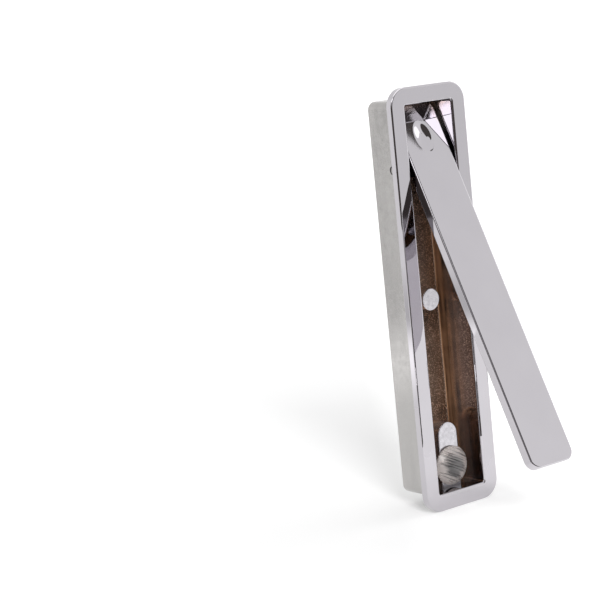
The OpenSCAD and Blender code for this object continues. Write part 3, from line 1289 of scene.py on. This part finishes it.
class HandleMakeStage(bpy.types.Operator):
    """Build the floor, the lamps, the studio's cards and the camera"""

    bl_idname = "handle.make_stage"
    bl_label = "Make stage"

    def execute(self, context):
        scene = context.scene
        stage = scene.handle_stage
        scene.view_settings.view_transform = "Standard"
        self.make_camera(scene)
        self.make_world(scene, stage)
        self.make_floor(stage)
        # The key near the camera throws the shadow to the rear, and the fill clears the right side
        self.make_lamp(scene, "key", stage.key, azimuth=-25, elevation=31, angle=19)
        self.make_lamp(scene, "fill", stage.fill, azimuth=75, elevation=38, angle=30)
        self.make_dark_cards(scene, stage)
        self.make_bright_cards(stage)
        return {"FINISHED"}

    def make_camera(self, scene):
        """The camera at the photograph's viewing angle."""
        camera = bpy.data.objects.new("camera", bpy.data.cameras.new("camera"))
        scene.collection.objects.link(camera)
        camera.data.sensor_width = SENSOR_WIDTH
        camera.data.sensor_fit = "HORIZONTAL"
        camera.data.lens = CAMERA_LENS
        camera.data.clip_start = 0.01
        camera.data.clip_end = 20
        look = facing(from_front(CAMERA_AZIMUTH, CAMERA_ELEVATION))
        camera.matrix_world = Matrix.Translation(camera_place()) @ look @ Matrix.Rotation(CAMERA_ROLL, 4, "Z")
        scene.camera = camera

    def make_world(self, scene, stage):
        """A white studio: white where it is seen, and a little darker as a light."""
        world = bpy.data.worlds.new("studio")
        world.use_nodes = True
        scene.world = world
        tree = world.node_tree
        towards = add_node(tree, "ShaderNodeTexCoord").outputs["Generated"]
        height = along_axis(tree, towards, "Z")
        wall = spread(tree, height, stage.low_sky, stage.high_sky, SKY_LOW, SKY_HIGH)
        background = tree.nodes["Background"]
        background.inputs["Color"].default_value = opaque(WHITE)
        tree.links.new(fade(tree, seen_ray(tree), stage.ambient, wall), background.inputs["Strength"])

    def make_floor(self, stage):
        """A wide pale floor that the handle stands on, and that keeps its shadow."""
        sides = ((-1, -1), (1, -1), (1, 1), (-1, 1))
        corners = [(FLOOR_HALF * x, FLOOR_HALF * y, tray_low.z) for x, y in sides]
        mesh = bpy.data.meshes.new("floor")
        mesh.from_pydata(corners, [], [(0, 1, 2, 3)])
        floor = new_object("floor", mesh)
        finish, tree, surface = bare_finish("floor_paper")
        paper = add_node(tree, "ShaderNodeBsdfDiffuse", {"Color": opaque(stage.floor)})
        coordinates = add_node(tree, "ShaderNodeTexCoord").outputs["Object"]
        rightwards = from_front(CAMERA_AZIMUTH + 90, 0)
        right = measure(tree, "DOT_PRODUCT", coordinates, rightwards)
        full = spread(tree, right, stage.floor_lift, stage.clear_lift, LIFT_START, LIFT_END)
        glow = add_node(tree, "ShaderNodeEmission", {"Strength": fade(tree, seen_ray(tree), 0.0, full)})
        both = add_node(tree, "ShaderNodeAddShader", {0: paper.outputs["BSDF"], 1: glow.outputs["Emission"]})
        tree.links.new(both.outputs["Shader"], surface)
        mesh.materials.append(finish)

    def make_lamp(self, scene, name, energy, azimuth, elevation, angle):
        """A soft lamp, with its angles in degrees, that only lights: the chrome shows the cards instead."""
        lamp = bpy.data.lights.new(name, "SUN")
        lamp.energy = energy
        lamp.angle = math.radians(angle)
        made = bpy.data.objects.new(name, lamp)
        scene.collection.objects.link(made)
        made.matrix_world = facing(from_front(azimuth, elevation))
        made.visible_glossy = False

    def make_dark_cards(self, scene, stage):
        """Dark and grey cards, which draw the dark forms in the chrome."""
        dark = glowing("dark_card", stage.dark_card)
        grey = glowing("grey_card", stage.grey_card)
        dark_wall = graded(
            "dark_wall",
            [(DARK_HEIGHT, stage.dark_card, 1.0), (PALE_HEIGHT, stage.pale_card, 1.0)],
            upwards=True,
        )
        dark_floor = graded(
            "dark_floor",
            [(FLOOR_CARD_FADE, stage.dark_card, 1.0), (CARD_DISTANCE, stage.pale_card, 1.0)],
        )
        wall_card("left_card", dark_wall, azimuths=(-135, -36), elevations=(FLOOR_EDGE, 30))
        wall_card("camera_card", dark_wall, azimuths=(-36, 30), elevations=(FLOOR_EDGE, 20))
        wall_card("front_card", grey, azimuths=(-36, 0), elevations=(20, 44))
        wall_card("front_right_card", dark, azimuths=(0, 38), elevations=(21, 43))
        floor_card("floor_card", dark_floor, azimuths=(-75, 20), distances=(FLOOR_CARD_START, CARD_DISTANCE))
        floor_card("floor_shade", dark, azimuths=(46.5, 60), distances=(0.162, 0.215), rise=2 * CARD_RISE)
        set_card("dish_card", dark, self.dish_card_rows(scene))

    def dish_card_rows(self, scene):
        """Rows of points of the card that the open flap mirrors beside the finger dish."""
        swing = flap_swing(scene.handle_flap)
        outwards = swing.to_3x3() @ Vector((0, -1, 0))
        front_y = scene.handle_tray.front_y
        rows = []
        for row in DISH_CARD_PLACES:
            rows.append([mirrored_place(swing @ Vector((x, front_y, z)), outwards) for x, z in row])
        return rows

    def make_bright_cards(self, stage):
        """White cards, which draw the lights in the chrome."""
        softbox = glowing("softbox", WHITE, stage.softbox)
        panel = glowing("ceiling_panel", WHITE, stage.ceiling)
        reflector = glowing("reflector", WHITE, stage.reflector)
        sheen = graded(
            "sheen",
            [(SHEEN_NEAR, WHITE, stage.near_sheen), (SHEEN_FAR, WHITE, stage.far_sheen)],
        )
        box_glow = graded(
            "box_glow",
            [
                (GLOW_START, WHITE, 1.0),
                (GLOW_PEAK, WHITE, stage.wall_glow),
                (GLOW_DIP, WHITE, stage.wall_shade),
                (GLOW_END, WHITE, 1.0),
            ],
        )
        wall_card(
            "key_softbox", softbox, azimuths=(-84, -38), elevations=(34, 50), distance=SOFTBOX_DISTANCE
        )
        wall_card("right_panel", panel, azimuths=(58, 72), elevations=(15, 31))
        wall_card("ceiling_panel", panel, azimuths=(-180, 180), elevations=(58, 89))
        floor_card("floor_sheen", sheen, azimuths=(30, 50), distances=(SHEEN_START, SHEEN_END))
        floor_card("box_glow", box_glow, azimuths=(-152, -134), distances=(GLOW_START, GLOW_END))
        floor_card(
            "floor_reflector", reflector, azimuths=(-54, -46), distances=(0.170, 0.203), rise=2 * CARD_RISE
        )


# Add-on


class HandlePanel(bpy.types.Panel):
    """Sizes, colours and building steps of the handle"""

    bl_label = "Recessed handle"
    bl_idname = "HANDLE_PT_build"
    bl_space_type = "VIEW_3D"
    bl_region_type = "UI"
    bl_category = "Handle"

    def draw(self, context):
        for title, group in (
            ("Tray", context.scene.handle_tray),
            ("Flap", context.scene.handle_flap),
            ("Pin, washers and bumper", context.scene.handle_small),
            ("Colours", context.scene.handle_colours),
            ("Stage", context.scene.handle_stage),
        ):
            column = self.layout.column(align=True)
            column.label(text=title)
            for name in group.__annotations__:
                column.prop(group, name)
        for step in BUILD_STEPS:
            self.layout.operator(step.bl_idname)


# Names under which a scene holds the sizes, colours and levels
GROUPS = {
    "handle_tray": HandleTraySizes,
    "handle_flap": HandleFlapSizes,
    "handle_small": HandleSmallSizes,
    "handle_colours": HandleColours,
    "handle_stage": HandleStageSettings,
}
# Operators in the order in which they build
BUILD_STEPS = (
    HandleMakeStage,
    HandleMakeTray,
    HandleMakeThreads,
    HandleMakePin,
    HandleMakeWashers,
    HandleMakeBumper,
    HandleMakeFlap,
)


def register():
    """Adds the classes to Blender and the sizes to the scene."""
    for name, group in GROUPS.items():
        bpy.utils.register_class(group)
        setattr(bpy.types.Scene, name, PointerProperty(type=group))
    for step in BUILD_STEPS:
        bpy.utils.register_class(step)
    bpy.utils.register_class(HandlePanel)


def unregister():
    """Takes everything out again that register added."""
    bpy.utils.unregister_class(HandlePanel)
    for step in reversed(BUILD_STEPS):
        bpy.utils.unregister_class(step)
    for name, group in GROUPS.items():
        delattr(bpy.types.Scene, name)
        bpy.utils.unregister_class(group)


def main():
    """Builds the handle on its stage."""
    register()
    bpy.ops.handle.make_stage()
    bpy.ops.handle.make_tray()
    bpy.ops.handle.make_threads()
    bpy.ops.handle.make_pin()
    bpy.ops.handle.make_washers()
    bpy.ops.handle.make_bumper()
    bpy.ops.handle.make_flap()


if __name__ == "__main__":
    main()
